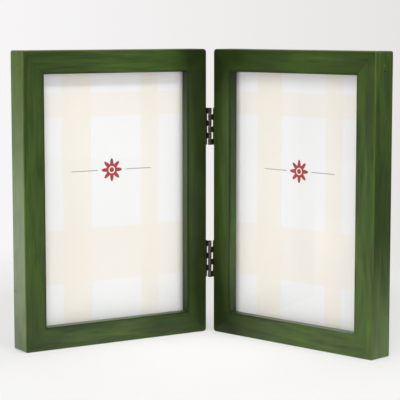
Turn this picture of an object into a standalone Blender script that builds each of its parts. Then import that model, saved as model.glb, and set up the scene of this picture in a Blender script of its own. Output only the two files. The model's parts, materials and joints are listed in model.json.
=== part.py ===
"""Hinged double photo frame: two glazed wooden leaves that fold on two butt hinges.

Metres, +Z up, fronts towards -Y, origin on the floor under the middle of the open frame.
Each leaf is laid out from the hinge pin: "across" runs from the pin to the leaf's outer side,
"depth" from the pin to the leaf's back and "height" up from the floor.
"""

import math

import bmesh
import bpy
from mathutils import Matrix, Vector

# Leaves
LEAF_WIDTH = 0.1234
LEAF_HEIGHT = 0.174
LEAF_DEPTH = 0.016
OPEN_ANGLE = math.radians(103.7)

# Moulding
FACE_WIDTH = 0.0135
LIP_DEPTH = 0.006
RABBET_STEP = 0.0034
OUTER_EASE = 0.0006
SIGHT_EASE = 0.0006
EASE_STEPS = 3
MITRE_SETBACK = 0.0001

# What lies in the rabbet, from the front to the back
FIT_GAP = 0.0003
GLASS_THICKNESS = 0.002
PRINT_WIDTH = 0.1016
PRINT_HEIGHT = 0.1524
PRINT_THICKNESS = 0.0003
FILLER_THICKNESS = 0.0031
BACKING_THICKNESS = 0.003
GLASS_ARRIS = 0.0002
BOARD_ARRIS = 0.0004

# Butt hinges
HINGE_LENGTH = 0.0226
HINGE_FROM_TOP = 0.047
HINGE_FROM_FOOT = 0.0454
KNUCKLES = 6
KNUCKLE_GAP = 0.0002
PIN_RADIUS = 0.00045
PIN_CLEARANCE = 0.0001
PIN_CHAMFER = 0.00012
PLATE_THICKNESS = 0.00055
PLATE_REACH = 0.0105
PLATE_CUTOUT = 0.0021
PLATE_SEAT_GAP = 0.0001
ROLL_ANGLE = 285.0
ROLL_STEPS = 16
PIN_TO_FRONT = 0.002

# Hinge screws
HINGE_SCREW_SPREAD = 0.0132
HINGE_SCREW_DEPTH = 0.0062
HINGE_SCREW_HEAD = 0.0017
HINGE_SCREW_RIM = 0.0001
HINGE_SCREW_SINK = 0.0009
HINGE_SCREW_SHANK = 0.0008
HINGE_SCREW_LENGTH = 0.0075
HINGE_SCREW_POINT = 0.0015

# Turn buttons and the screws that they turn on
BUTTON_INSET = 0.005
BUTTON_REACH = 0.0105
BUTTON_HEEL_RADIUS = 0.004
BUTTON_TIP_RADIUS = 0.0028
BUTTON_THICKNESS = 0.0008
BUTTON_LIFT_START = 0.0095
BUTTON_LIFT = 0.0009
BUTTON_GAP = 0.00015
BUTTON_SCREW_HEAD = 0.0025
BUTTON_SCREW_DOME = 0.0015
BUTTON_SCREW_RIM = 0.0003
BUTTON_SCREW_SHANK = 0.0012
BUTTON_SCREW_LENGTH = 0.0095
BUTTON_SCREW_POINT = 0.002

# Corner brads
BRAD_FROM_END = 0.008
BRAD_DEPTH = 0.008
BRAD_SET = 0.0005
BRAD_HEAD = 0.0008
BRAD_HEAD_THICKNESS = 0.0005
BRAD_SHANK = 0.00055
BRAD_LENGTH = 0.019
BRAD_POINT = 0.0015

# Worked-out places
KNUCKLE_BORE = PIN_RADIUS + PIN_CLEARANCE
KNUCKLE_RADIUS = KNUCKLE_BORE + PLATE_THICKNESS
PIN_TO_SIDE = KNUCKLE_RADIUS + PLATE_SEAT_GAP
BACK_DEPTH = PIN_TO_FRONT + LEAF_DEPTH
TURN = (math.pi - OPEN_ANGLE) / 2
FRONT_CORNER_Y = PIN_TO_FRONT * math.cos(TURN) - (PIN_TO_SIDE + LEAF_WIDTH) * math.sin(TURN)
BACK_CORNER_Y = BACK_DEPTH * math.cos(TURN) - PIN_TO_SIDE * math.sin(TURN)
PIN_Y = -(FRONT_CORNER_Y + BACK_CORNER_Y) / 2
HINGE_HEIGHTS = {"upper": LEAF_HEIGHT - HINGE_FROM_TOP, "lower": HINGE_FROM_FOOT}
SIDES = {"left": -1, "right": 1}
SCREW_SIDES = 16
BRAD_SIDES = 12
HOLE_GAP = 0.0002
SMOOTH_ANGLE = math.radians(40)
MERGE_DISTANCE = 1e-7


def finish(name, colour, roughness, metallic=0.0, transmission=0.0):
    """A plain Principled finish."""
    material = bpy.data.materials.new(name)
    material.use_nodes = True
    shader = material.node_tree.nodes["Principled BSDF"]
    shader.inputs["Base Color"].default_value = (*colour, 1.0)
    shader.inputs["Roughness"].default_value = roughness
    shader.inputs["Metallic"].default_value = metallic
    shader.inputs["Transmission Weight"].default_value = transmission
    return material


def add_object(name, mesh, material=None, parent=None):
    """Put a mesh into the scene under its piece's name."""
    piece = bpy.data.objects.new(name, mesh)
    bpy.context.scene.collection.objects.link(piece)
    piece.parent = parent
    if material:
        mesh.materials.append(material)
    return piece


def mesh_from(work, name):
    """Merge a bmesh's coincident points, face it outwards and shade its rounds smooth."""
    bmesh.ops.remove_doubles(work, verts=work.verts, dist=MERGE_DISTANCE)
    bmesh.ops.recalc_face_normals(work, faces=work.faces)
    mesh = bpy.data.meshes.new(name)
    work.to_mesh(mesh)
    work.free()
    mesh.shade_smooth()
    mesh.set_sharp_from_angle(angle=SMOOTH_ANGLE)
    return mesh


def loft(loops, name):
    """Skin a row of closed loops that have the same number of points, and cap both ends."""
    work = bmesh.new()
    rows = [[work.verts.new(point) for point in loop] for loop in loops]
    count = len(loops[0])
    for row, following in zip(rows, rows[1:]):
        for i in range(count):
            j = (i + 1) % count
            work.faces.new((row[i], row[j], following[j], following[i]))
    work.faces.new(rows[0])
    work.faces.new(rows[-1])
    return mesh_from(work, name)


def turned(profile, sides, name):
    """Spin a half-section of (radius, distance) points round the Z axis."""
    work = bmesh.new()
    verts = [work.verts.new((radius, 0, distance)) for radius, distance in profile]
    edges = [work.edges.new(pair) for pair in zip(verts, verts[1:])]
    bmesh.ops.spin(
        work,
        geom=verts + edges,
        cent=(0, 0, 0),
        axis=(0, 0, 1),
        angle=math.tau,
        steps=sides,
        use_merge=True,
    )
    return mesh_from(work, name)


def aim(piece, location, direction):
    """Place a turned piece so that its Z axis, which runs into the material, points along direction."""
    piece.location = location
    piece.rotation_euler = Vector(direction).to_track_quat("Z", "Y").to_euler()


def cut(piece, cutter):
    """Take a cutter's shape out of a piece, and keep the cutter out of the model."""
    cutter.hide_render = True
    cutter.display_type = "WIRE"
    boolean = piece.modifiers.new(cutter.name, "BOOLEAN")
    boolean.operation = "DIFFERENCE"
    boolean.solver = "EXACT"
    boolean.object = cutter


def arc(centre, radius, start, end, steps):
    """Points along a circle from one angle to another, in degrees."""
    angles = [math.radians(start + (end - start) * i / steps) for i in range(steps + 1)]
    return [(centre[0] + radius * math.cos(a), centre[1] + radius * math.sin(a)) for a in angles]


def leaf_point(side, across, depth, height):
    """A place on a leaf as a point on the axes of the leaf's empty."""
    return Vector((side * across, depth, height))


def moulding_profile():
    """The moulding's section: (inset from the outer side, depth behind the front face)."""
    wall = FACE_WIDTH - RABBET_STEP
    points = arc((OUTER_EASE, OUTER_EASE), OUTER_EASE, 180, 270, EASE_STEPS)
    points += arc((FACE_WIDTH - SIGHT_EASE, SIGHT_EASE), SIGHT_EASE, -90, 0, EASE_STEPS)
    points += [(FACE_WIDTH, LIP_DEPTH), (wall, LIP_DEPTH), (wall, LEAF_DEPTH)]
    points += arc((OUTER_EASE, LEAF_DEPTH - OUTER_EASE), OUTER_EASE, 90, 180, EASE_STEPS)
    return points


def corner_point(inset, turn):
    """Where a line of the moulding lies as the frame's corner rounds over.

    Lines near the outer side follow arcs about the corner's centre and the others meet at the
    mitre. Returns (distance short of the leaf's corner, inset from the outer side).
    """
    if inset >= OUTER_EASE:
        return inset, inset
    radius = OUTER_EASE - inset
    return OUTER_EASE - radius * math.sin(turn), OUTER_EASE - radius * math.cos(turn)


# The four members of a leaf: length, and (along, inset) turned into (across, height).
MEMBERS = {
    "top_rail": (LEAF_WIDTH, lambda along, inset: (along, LEAF_HEIGHT - inset)),
    "bottom_rail": (LEAF_WIDTH, lambda along, inset: (along, inset)),
    "outer_stile": (LEAF_HEIGHT, lambda along, inset: (LEAF_WIDTH - inset, along)),
    "hinge_stile": (LEAF_HEIGHT, lambda along, inset: (inset, along)),
}


def moulding_member(leaf_name, member, leaf, side, wood):
    """One length of rabbeted moulding, mitred at both ends with the frame's corners eased."""
    length, to_leaf = MEMBERS[member]
    turns = [math.radians(45.0 * i / EASE_STEPS) for i in range(EASE_STEPS + 1)]
    stations = [(turn, False) for turn in reversed(turns)] + [(turn, True) for turn in turns]
    loops = []
    for turn, far_end in stations:
        loop = []
        for inset, depth in moulding_profile():
            short, here = corner_point(inset, turn)
            short += MITRE_SETBACK
            across, height = to_leaf(length - short if far_end else short, here)
            loop.append(leaf_point(side, PIN_TO_SIDE + across, PIN_TO_FRONT + depth, height))
        loops.append(loop)
    name = f"{leaf_name}_{member}"
    return add_object(name, loft(loops, name), wood, leaf)


def board(name, leaf, side, width, height, front, thickness, material, arris=0.0):
    """A flat sheet centred in the rabbet, its front at a depth behind the leaf's front face."""
    work = bmesh.new()
    bmesh.ops.create_cube(work, size=1.0)
    bmesh.ops.scale(work, vec=(width, thickness, height), verts=work.verts)
    middle = leaf_point(
        side,
        PIN_TO_SIDE + LEAF_WIDTH / 2,
        PIN_TO_FRONT + front + thickness / 2,
        LEAF_HEIGHT / 2,
    )
    bmesh.ops.translate(work, vec=middle, verts=work.verts)
    piece = add_object(name, mesh_from(work, name), material, leaf)
    if arris:
        bevel = piece.modifiers.new("arris", "BEVEL")
        bevel.width = arris
        bevel.segments = 1
    return piece


def glazing(leaf_name, leaf, side, finishes):
    """Glass, print, filler card and backing board, one behind the other in the rabbet."""
    wall = FACE_WIDTH - RABBET_STEP
    full = (LEAF_WIDTH - 2 * (wall + FIT_GAP), LEAF_HEIGHT - 2 * (wall + FIT_GAP))
    photo = (PRINT_WIDTH, PRINT_HEIGHT)
    layers = (
        ("glass", full, GLASS_THICKNESS, GLASS_ARRIS),
        ("print", photo, PRINT_THICKNESS, 0.0),
        ("filler_card", photo, FILLER_THICKNESS, 0.0),
        ("backing_board", full, BACKING_THICKNESS, BOARD_ARRIS),
    )
    front = LIP_DEPTH
    for layer, (width, height), thickness, arris in layers:
        front += FIT_GAP
        name = f"{leaf_name}_{layer}"
        board(name, leaf, side, width, height, front, thickness, finishes[layer], arris)
        front += thickness


def button_outline(distance):
    """Half width of a turn button at a distance from its pivot: two round ends joined by tangents."""
    slope = (BUTTON_HEEL_RADIUS - BUTTON_TIP_RADIUS) / BUTTON_REACH
    rise = math.sqrt(1 - slope * slope)
    if distance < BUTTON_HEEL_RADIUS * slope:
        return math.sqrt(max(BUTTON_HEEL_RADIUS**2 - distance**2, 0.0))
    if distance > BUTTON_REACH + BUTTON_TIP_RADIUS * slope:
        return math.sqrt(max(BUTTON_TIP_RADIUS**2 - (distance - BUTTON_REACH) ** 2, 0.0))
    return (BUTTON_HEEL_RADIUS - slope * distance) / rise


def button_mesh(name):
    """A stamped turn button: heel at the pivot, tip along +X, its end lifted for a fingertip."""
    heel = [-BUTTON_HEEL_RADIUS * math.cos(math.radians(15 + 15 * i)) for i in range(6)]
    tip = [BUTTON_REACH + BUTTON_TIP_RADIUS * math.sin(math.radians(15 * i)) for i in range(6)]
    loops = []
    for distance in heel + [BUTTON_LIFT_START] + tip:
        half = button_outline(distance)
        run = (BUTTON_REACH + BUTTON_TIP_RADIUS) - BUTTON_LIFT_START
        lift = BUTTON_LIFT * max(distance - BUTTON_LIFT_START, 0.0) / run
        top = lift + BUTTON_THICKNESS
        loops.append(
            [
                Vector((distance, -half, lift)),
                Vector((distance, half, lift)),
                Vector((distance, half, top)),
                Vector((distance, -half, top)),
            ]
        )
    return loft(loops, name)


def button_screw_profile(gap=0.0):
    """Half-section of a dome-headed screw, from the dome's crown at zero down to its point."""
    angles = [math.radians(18 * i) for i in range(6)]
    rise = BUTTON_SCREW_DOME - BUTTON_SCREW_RIM
    dome = [(BUTTON_SCREW_HEAD * math.sin(a), rise * (1 - math.cos(a))) for a in angles]
    end = BUTTON_SCREW_DOME + BUTTON_SCREW_LENGTH
    return dome + [
        (BUTTON_SCREW_HEAD, BUTTON_SCREW_DOME),
        (BUTTON_SCREW_SHANK + gap, BUTTON_SCREW_DOME),
        (BUTTON_SCREW_SHANK + gap, end - BUTTON_SCREW_POINT + gap),
        (0.0, end + gap),
    ]


def turn_buttons(leaf_name, leaf, side, members, steel):
    """A turn button and its screw at the middle of each member, tips over the backing board."""
    inward = {
        "top_rail": (0, 0, -1),
        "bottom_rail": (0, 0, 1),
        "outer_stile": (-side, 0, 0),
        "hinge_stile": (side, 0, 0),
    }
    backward = Vector((0, 1, 0))
    for member, (length, to_leaf) in MEMBERS.items():
        across, height = to_leaf(length / 2, BUTTON_INSET)
        pivot = leaf_point(side, PIN_TO_SIDE + across, BACK_DEPTH, height)
        where = member.split("_")[0]
        name = f"{leaf_name}_turn_button_{where}"
        button = add_object(name, button_mesh(name), steel, leaf)
        tip = Vector(inward[member])
        axes = Matrix((tip, backward.cross(tip), backward)).transposed()
        button.location = pivot + backward * BUTTON_GAP
        button.rotation_euler = axes.to_euler()
        crown = 2 * BUTTON_GAP + BUTTON_THICKNESS + BUTTON_SCREW_DOME
        name = f"{leaf_name}_button_screw_{where}"
        screw = add_object(name, turned(button_screw_profile(), SCREW_SIDES, name), steel, leaf)
        aim(screw, pivot + backward * crown, -backward)
        hole_name = f"{name}_hole"
        hole_mesh = turned(button_screw_profile(HOLE_GAP), SCREW_SIDES, hole_name)
        hole = add_object(hole_name, hole_mesh, parent=leaf)
        aim(hole, pivot + backward * crown, -backward)
        cut(members[member], hole)
        cut(button, hole)


def brad_profile(gap=0.0):
    """Half-section of a brad from the top of its head to its point."""
    head = BRAD_HEAD + gap
    shank = BRAD_SHANK + gap
    above = -2 * BRAD_SET if gap else 0.0
    return [
        (0.0, above),
        (head, above),
        (head, BRAD_HEAD_THICKNESS + gap),
        (shank, BRAD_HEAD_THICKNESS + gap),
        (shank, BRAD_LENGTH - BRAD_POINT + gap),
        (0.0, BRAD_LENGTH + gap),
    ]


def corner_brads(leaf_name, leaf, side, members, steel):
    """A brad at each corner, driven from the stile's side through the mitre into the rail."""
    for rail in ("top", "bottom"):
        height = BRAD_FROM_END if rail == "bottom" else LEAF_HEIGHT - BRAD_FROM_END
        for stile in ("outer", "hinge"):
            across = LEAF_WIDTH - BRAD_SET if stile == "outer" else BRAD_SET
            head = leaf_point(side, PIN_TO_SIDE + across, PIN_TO_FRONT + BRAD_DEPTH, height)
            direction = (-side if stile == "outer" else side, 0, 0)
            name = f"{leaf_name}_brad_{rail}_{stile}"
            brad = add_object(name, turned(brad_profile(), BRAD_SIDES, name), steel, leaf)
            aim(brad, head, direction)
            hole_name = f"{name}_hole"
            hole = add_object(hole_name, turned(brad_profile(HOLE_GAP), BRAD_SIDES, hole_name), parent=leaf)
            aim(hole, head, direction)
            cut(members[f"{stile}_stile"], hole)
            cut(members[f"{rail}_rail"], hole)


def plate_mesh(name, side, middle, first_knuckle):
    """Mid-surface of a hinge plate: a flat blank whose alternate tabs roll round the pin."""
    radius = KNUCKLE_BORE + PLATE_THICKNESS / 2
    path = [(radius, PLATE_REACH), (radius, PLATE_CUTOUT)]
    path += arc((0.0, 0.0), radius, 0, -ROLL_ANGLE, ROLL_STEPS)
    pitch = HINGE_LENGTH / KNUCKLES
    bottom = middle - HINGE_LENGTH / 2
    tabs = []
    for knuckle in range(first_knuckle, KNUCKLES, 2):
        low = bottom + knuckle * pitch + (KNUCKLE_GAP / 2 if knuckle else 0.0)
        high = bottom + (knuckle + 1) * pitch - (KNUCKLE_GAP / 2 if knuckle < KNUCKLES - 1 else 0.0)
        tabs.append((low, high))
    heights = {bottom, bottom + KNUCKLES * pitch}
    heights = sorted(heights.union(*tabs))
    work = bmesh.new()
    for low, high in zip(heights, heights[1:]):
        is_tab = (low, high) in tabs
        run = path if is_tab else path[:2]
        rows = [
            [work.verts.new(leaf_point(side, across, depth, height)) for height in (low, high)]
            for across, depth in run
        ]
        for row, following in zip(rows, rows[1:]):
            work.faces.new((row[0], row[1], following[1], following[0]))
    return mesh_from(work, name)


def hinge_screw_profile(gap=0.0):
    """Half-section of a countersunk screw from the face of its head to its point."""
    above = -PLATE_THICKNESS if gap else 0.0
    return [
        (0.0, above),
        (HINGE_SCREW_HEAD + gap, above),
        (HINGE_SCREW_HEAD + gap, HINGE_SCREW_RIM),
        (HINGE_SCREW_SHANK + gap, HINGE_SCREW_SINK),
        (HINGE_SCREW_SHANK + gap, HINGE_SCREW_LENGTH - HINGE_SCREW_POINT + gap),
        (0.0, HINGE_SCREW_LENGTH + gap),
    ]


def hinge_half(hinge_name, leaf_name, leaf, side, stile, first_knuckle, bronze):
    """One plate of a hinge on a leaf's hinge stile, with its two countersunk screws."""
    middle = HINGE_HEIGHTS[hinge_name]
    name = f"{hinge_name}_hinge_{leaf_name}_plate"
    plate = add_object(name, plate_mesh(name, side, middle, first_knuckle), bronze, leaf)
    solidify = plate.modifiers.new("sheet", "SOLIDIFY")
    solidify.thickness = PLATE_THICKNESS
    solidify.offset = 0.0
    solidify.use_even_offset = True
    for end, step in (("top", 1), ("bottom", -1)):
        height = middle + step * HINGE_SCREW_SPREAD / 2
        head = leaf_point(side, KNUCKLE_BORE, PIN_TO_FRONT + HINGE_SCREW_DEPTH, height)
        name = f"{hinge_name}_hinge_{leaf_name}_screw_{end}"
        screw = add_object(name, turned(hinge_screw_profile(), SCREW_SIDES, name), bronze, leaf)
        aim(screw, head, (side, 0, 0))
        hole_name = f"{name}_hole"
        hole_mesh = turned(hinge_screw_profile(HOLE_GAP), SCREW_SIDES, hole_name)
        hole = add_object(hole_name, hole_mesh, parent=leaf)
        aim(hole, head, (side, 0, 0))
        cut(plate, hole)
        cut(stile, hole)


def hinge_pin(hinge_name, leaf, bronze):
    """The pin through a hinge's knuckles, chamfered at both ends."""
    half = HINGE_LENGTH / 2
    profile = [
        (0.0, half),
        (PIN_RADIUS - PIN_CHAMFER, half),
        (PIN_RADIUS, half - PIN_CHAMFER),
        (PIN_RADIUS, PIN_CHAMFER - half),
        (PIN_RADIUS - PIN_CHAMFER, -half),
        (0.0, -half),
    ]
    name = f"{hinge_name}_hinge_pin"
    pin = add_object(name, turned(profile, SCREW_SIDES, name), bronze, leaf)
    pin.location = (0, 0, HINGE_HEIGHTS[hinge_name])


def add_leaf(leaf_name, side, finishes):
    """One leaf of the frame, hung from an empty on the hinge pin."""
    leaf = bpy.data.objects.new(f"{leaf_name}_leaf_axis", None)
    bpy.context.scene.collection.objects.link(leaf)
    leaf.location = (0, PIN_Y, 0)
    leaf.rotation_euler = (0, 0, -side * TURN)
    members = {
        member: moulding_member(leaf_name, member, leaf, side, finishes["wood"]) for member in MEMBERS
    }
    glazing(leaf_name, leaf, side, finishes)
    corner_brads(leaf_name, leaf, side, members, finishes["steel"])
    turn_buttons(leaf_name, leaf, side, members, finishes["steel"])
    for hinge_name in HINGE_HEIGHTS:
        first_knuckle = 1 if leaf_name == "left" else 0
        hinge_half(
            hinge_name, leaf_name, leaf, side, members["hinge_stile"], first_knuckle, finishes["bronze"]
        )
        if leaf_name == "left":
            hinge_pin(hinge_name, leaf, finishes["bronze"])


def main():
    for old in list(bpy.data.objects):
        bpy.data.objects.remove(old)
    finishes = {
        "wood": finish("green_stained_wood", (0.054, 0.085, 0.022), 0.42),
        "glass": finish("clear_glass", (0.95, 0.97, 0.96), 0.02, transmission=1.0),
        "print": finish("print_paper", (0.80, 0.80, 0.79), 0.6),
        "filler_card": finish("grey_card", (0.36, 0.31, 0.24), 0.85),
        "backing_board": finish("black_backing_board", (0.012, 0.012, 0.012), 0.7),
        "bronze": finish("dark_bronze", (0.060, 0.052, 0.045), 0.32, metallic=1.0),
        "steel": finish("zinc_plated_steel", (0.55, 0.55, 0.54), 0.35, metallic=1.0),
    }
    for leaf_name, side in SIDES.items():
        add_leaf(leaf_name, side, finishes)


main()
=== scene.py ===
"""Looks of a hinged double photo frame: stained wood, glass, paper, hinges and the studio round it.

Each leaf is laid out from the hinge pin, as in the model: "across" runs from the pin to the leaf's
outer side, "depth" from the pin to the leaf's back and "height" up from the floor. Metres throughout.
"""

import json
import math
from types import SimpleNamespace

import bmesh
import bpy
import numpy as np
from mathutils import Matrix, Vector


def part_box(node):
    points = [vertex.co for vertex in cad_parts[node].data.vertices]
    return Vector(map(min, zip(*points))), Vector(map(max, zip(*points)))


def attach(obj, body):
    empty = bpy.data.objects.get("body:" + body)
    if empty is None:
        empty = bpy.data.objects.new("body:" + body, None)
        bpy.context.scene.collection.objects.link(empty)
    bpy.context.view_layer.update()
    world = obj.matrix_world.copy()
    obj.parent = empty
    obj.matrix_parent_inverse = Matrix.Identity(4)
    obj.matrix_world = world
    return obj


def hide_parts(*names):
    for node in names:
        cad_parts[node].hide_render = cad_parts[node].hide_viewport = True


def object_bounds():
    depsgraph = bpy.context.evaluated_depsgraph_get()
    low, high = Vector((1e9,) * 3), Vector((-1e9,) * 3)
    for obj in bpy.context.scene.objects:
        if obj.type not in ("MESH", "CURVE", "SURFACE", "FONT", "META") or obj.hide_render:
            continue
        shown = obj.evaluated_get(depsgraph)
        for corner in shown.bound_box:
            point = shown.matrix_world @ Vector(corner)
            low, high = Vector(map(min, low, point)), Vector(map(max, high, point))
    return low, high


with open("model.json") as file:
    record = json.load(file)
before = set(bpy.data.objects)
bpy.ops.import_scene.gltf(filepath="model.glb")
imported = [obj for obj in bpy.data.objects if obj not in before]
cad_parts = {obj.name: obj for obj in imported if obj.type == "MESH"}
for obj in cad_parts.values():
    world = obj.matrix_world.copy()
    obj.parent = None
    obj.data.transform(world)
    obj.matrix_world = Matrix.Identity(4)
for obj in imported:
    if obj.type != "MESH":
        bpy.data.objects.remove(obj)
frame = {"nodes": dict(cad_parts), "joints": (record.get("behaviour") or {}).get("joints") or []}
CAD_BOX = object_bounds()

# View of the photograph
CAMERA_PLACE = (0.0883, -0.9058, 0.1888)
CAMERA_PITCH = math.radians(-6.49)
CAMERA_TURN = math.radians(5.75)
CAMERA_LENS = 138.98
SENSOR_WIDTH = 36.0

# Moulding
OUTER_EASE = 0.0006
SIGHT_EASE = 0.0006
HINGE_CORNER = 0.0019
OUTER_CORNER = 0.0011
ROUND_STEPS = 8
SECTION_STEP = 0.001
MITRE_SETBACK = 0.00004
MEMBER_ROWS = 24
FIT_GAP = 0.0003
EDGE_REACH = 0.0007
# Painted shade along the sight edge, where the rounded edge turns from the light, and how far it reaches
SIGHT_PAINTED_SHADE = 0.8
SIGHT_PAINTED_SHADE_REACH = 0.0007
GRAIN_JUMP = np.array((0.371, 0.113))

# Painted shade and painted light laid into the wood's tone: mostly darker near the hinge stiles, where the
# two leaves shade each other.
# Painted shade and painted light on each leaf: across, height, reach across, reach up, share (less than 0
# is paler)
SHADE_AND_LIGHT_PATCHES = {
    "left": (
        (0.0, 0.087, 0.014, 1.0, 0.85),
        (0.0, 0.150, 0.012, 0.035, 0.7),
        (0.0, 0.174, 0.028, 0.022, 0.45),
        (0.0, 0.036, 0.020, 0.028, 0.40),
        (0.0, 0.0, 0.025, 0.014, -0.2),
        (0.033, 0.0, 0.014, 0.020, 0.5),
        (0.045, 0.174, 0.025, 0.025, -0.55),
        (0.1234, 0.174, 0.065, 0.065, 0.44),
        (0.1234, 0.0, 0.020, 0.050, 0.45),
    ),
    "right": (
        (0.0, 0.087, 0.008, 1.0, 0.6),
        (0.0, 0.174, 0.045, 0.030, 0.95),
        (0.0, 0.0, 0.052, 0.050, 1.10),
        (0.1234, 0.174, 0.045, 0.045, 0.50),
        (0.1234, 0.0, 0.090, 0.110, -1.0),
    ),
}

# More painted light and shade on the outer stiles' outer sides and the hinge stiles' sight sides: height,
# reach up, share
SIDE_SHADE_AND_LIGHT_PATCHES = {
    "left": {
        # The left outer side is painted much paler: painted light, as if a lamp shone on it from the left.
        "outer_stile": ((0.087, 1.0, -3.8),),
        "hinge_stile": ((0.166, 0.016, 1.0), (0.014, 0.010, 0.45)),
    },
    "right": {
        "outer_stile": (
            (0.087, 1.0, -0.35),
            (0.068, 0.055, 1.6),
            (0.0, 0.030, -0.9),
            (0.174, 0.030, -0.4),
        ),
        "hinge_stile": ((0.130, 0.060, 0.55), (0.166, 0.014, 0.25), (0.044, 0.022, -0.8)),
    },
}

# Nicks in the outer stiles' sides: member number, height, depth, half sizes up and round, strength
NICKS = (
    (6, 0.1627, 0.0083, (0.0007, 0.0024), 1.0),
    (2, 0.0346, 0.0144, (0.0013, 0.0021), 0.8),
    (2, 0.0073, 0.0076, (0.0090, 0.0030), 0.40),
)

# Filled brad holes
PLUG_RADIUS = 0.00095
PLUG_RISE = 0.00006
PLUG_DEPTH = 0.0002
PLUG_RINGS = 9

# Hinges
KNUCKLES = 6
KNUCKLE_GAP = 0.0002
FIRST_KNUCKLE = {"left": 1, "right": 0}
PLATE_THICKNESS = 0.00055
PLATE_CUTOUT = 0.0021
PLATE_ARRIS = 0.00006
PLATE_ROWS = 11
NECK_ROWS = 4
ROLL_ANGLE = math.radians(285)
ROLL_STEPS = 32
PIN_DOME = 0.00012
PIN_RINGS = 7

# Screws: a recess is the reach of its arms, their half width and its depth, a turn is from one to the next
HINGE_SCREW = {"rim": 0.00003, "root": 0.0004, "recess": (0.0009, 0.00021, 0.0004), "turn": 0.7}
HINGE_SCREW_RISE = 0.00025
BUTTON_SCREW = {"rim": 0.0003, "root": 0.003, "recess": (0.0014, 0.00032, 0.0008), "turn": 0.9}
BUTTON_SCREW_SHANK = 0.0011
RECESS_TAPER = 0.00022
SCREW_SIDES = 96
SCREW_RINGS = 40
RUBBED_RINGS = 4

# Turn buttons
BUTTON_REACH = 0.0105
BUTTON_HEEL_RADIUS = 0.004
BUTTON_TIP_RADIUS = 0.0028
BUTTON_HOLE = 0.0013
BUTTON_LIFT_START = 0.0095
BUTTON_LIFT = 0.0009
BUTTON_THICKNESS = 0.0008
BUTTON_GAP = 0.00015
BUTTON_ROUND = 0.00028
BUTTON_STEP = 0.0006
BUTTON_RINGS = 14
BUTTON_EDGE_RINGS = 5

# Mesh finish
SHEET_CELLS = 12
SMALL_SIDES = 32
ARRIS_SEGMENTS = 2
MERGE_DISTANCE = 1e-7
SHARP_ANGLE = math.radians(38)
GRAIN_MAP = "grain"
EDGE_MARK = "edge"
# Mark of the painted shade (above 0) and painted light (below 0) laid into the wood's colour
PAINTED_LIGHT_AND_SHADE_MARK = "stain_depth"

UP = np.array((0.0, 0.0, 1.0))
QUARTER = math.pi / 2
JOINTS = {joint["name"]: joint for joint in frame["joints"]}
PIN = np.array(JOINTS["fold"]["pos_m"]) * (1.0, 1.0, 0.0)
WHERE = ("top", "bottom", "outer", "hinge")
HINGES = ("upper", "lower")


class Leaf:
    """One leaf's own axes at the hinge pin, taken from the joints of its turn buttons."""

    def __init__(self, name, side):
        self.name = name
        self.side = side
        self.body = f"{name}_leaf"
        self.back = np.array(JOINTS[f"{name}_turn_button_top_turn"]["axis"])
        self.across = side * np.cross(self.back, UP)
        self.axes = np.stack((self.across, self.back, UP))

    def extent(self, node):
        """Lowest and highest (across, depth, height) of a model node."""
        mesh = frame["nodes"][node].data
        points = np.empty(3 * len(mesh.vertices), np.float32)
        mesh.vertices.foreach_get("co", points)
        local = (points.reshape(-1, 3) - PIN) @ self.axes.T
        return local.min(axis=0), local.max(axis=0)

    def place(self, across, depth, height):
        """World points of (across, depth, height) arrays that fit each other's shapes."""
        return PIN + np.stack(np.broadcast_arrays(across, depth, height), axis=-1) @ self.axes


LEAVES = (Leaf("left", -1), Leaf("right", 1))


def leaf_sizes(leaf):
    """The moulding's driving sizes, read off the model's nodes."""
    (near, front, _), _ = leaf.extent(f"{leaf.name}_hinge_stile")
    _, (far, back, _) = leaf.extent(f"{leaf.name}_outer_stile")
    rail_low, rail_high = leaf.extent(f"{leaf.name}_bottom_rail")
    _, top_high = leaf.extent(f"{leaf.name}_top_rail")
    glass_low, _ = leaf.extent(f"{leaf.name}_glass")
    return SimpleNamespace(
        near=near,
        front=front,
        width=far - near,
        depth=back - front,
        height=top_high[2],
        face=rail_high[2] - rail_low[2],
        lip=glass_low[1] - FIT_GAP - front,
        wall=glass_low[0] - FIT_GAP - near,
    )


SIZE = leaf_sizes(LEAVES[0])


# Meshes


def add_piece(name, body, material, points, faces, replaces=(), uv=None, marks=None):
    """Put whole arrays into a mesh: merge coincident points, face it outwards, shade rounds smooth.

    uv holds one (u, v) for each face corner, and marks named arrays with one value for each point.
    """
    mesh = bpy.data.meshes.new(name)
    mesh.from_pydata(np.reshape(points, (-1, 3)).tolist(), [], faces)
    if uv is not None:
        mesh.uv_layers.new(name=GRAIN_MAP).data.foreach_set("uv", np.ravel(uv))
    for mark, values in (marks or {}).items():
        mesh.attributes.new(mark, "FLOAT", "POINT").data.foreach_set("value", np.ravel(values))
    work = bmesh.new()
    work.from_mesh(mesh)
    bmesh.ops.remove_doubles(work, verts=work.verts, dist=MERGE_DISTANCE)
    if work.calc_volume(signed=True) < 0:
        bmesh.ops.reverse_faces(work, faces=work.faces)
    work.to_mesh(mesh)
    work.free()
    mesh.shade_smooth()
    mesh.set_sharp_from_angle(angle=SHARP_ANGLE)
    mesh.materials.append(material)
    piece = bpy.data.objects.new(name, mesh)
    bpy.context.scene.collection.objects.link(piece)
    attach(piece, body)
    if replaces:
        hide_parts(*replaces)
    return piece


def loop_quads(rows, columns, closed_rows=False):
    """Quads between rows of points that each close on themselves, and between last and first if asked."""
    number = np.arange(rows * columns).reshape(rows, columns)
    beside = np.roll(number, -1, axis=1)
    ahead = (np.roll(beside, -1, axis=0), np.roll(number, -1, axis=0))
    quads = np.stack((number, beside, *ahead), axis=-1)
    if not closed_rows:
        quads = quads[:-1]
    return quads.reshape(-1, 4).tolist()


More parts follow.
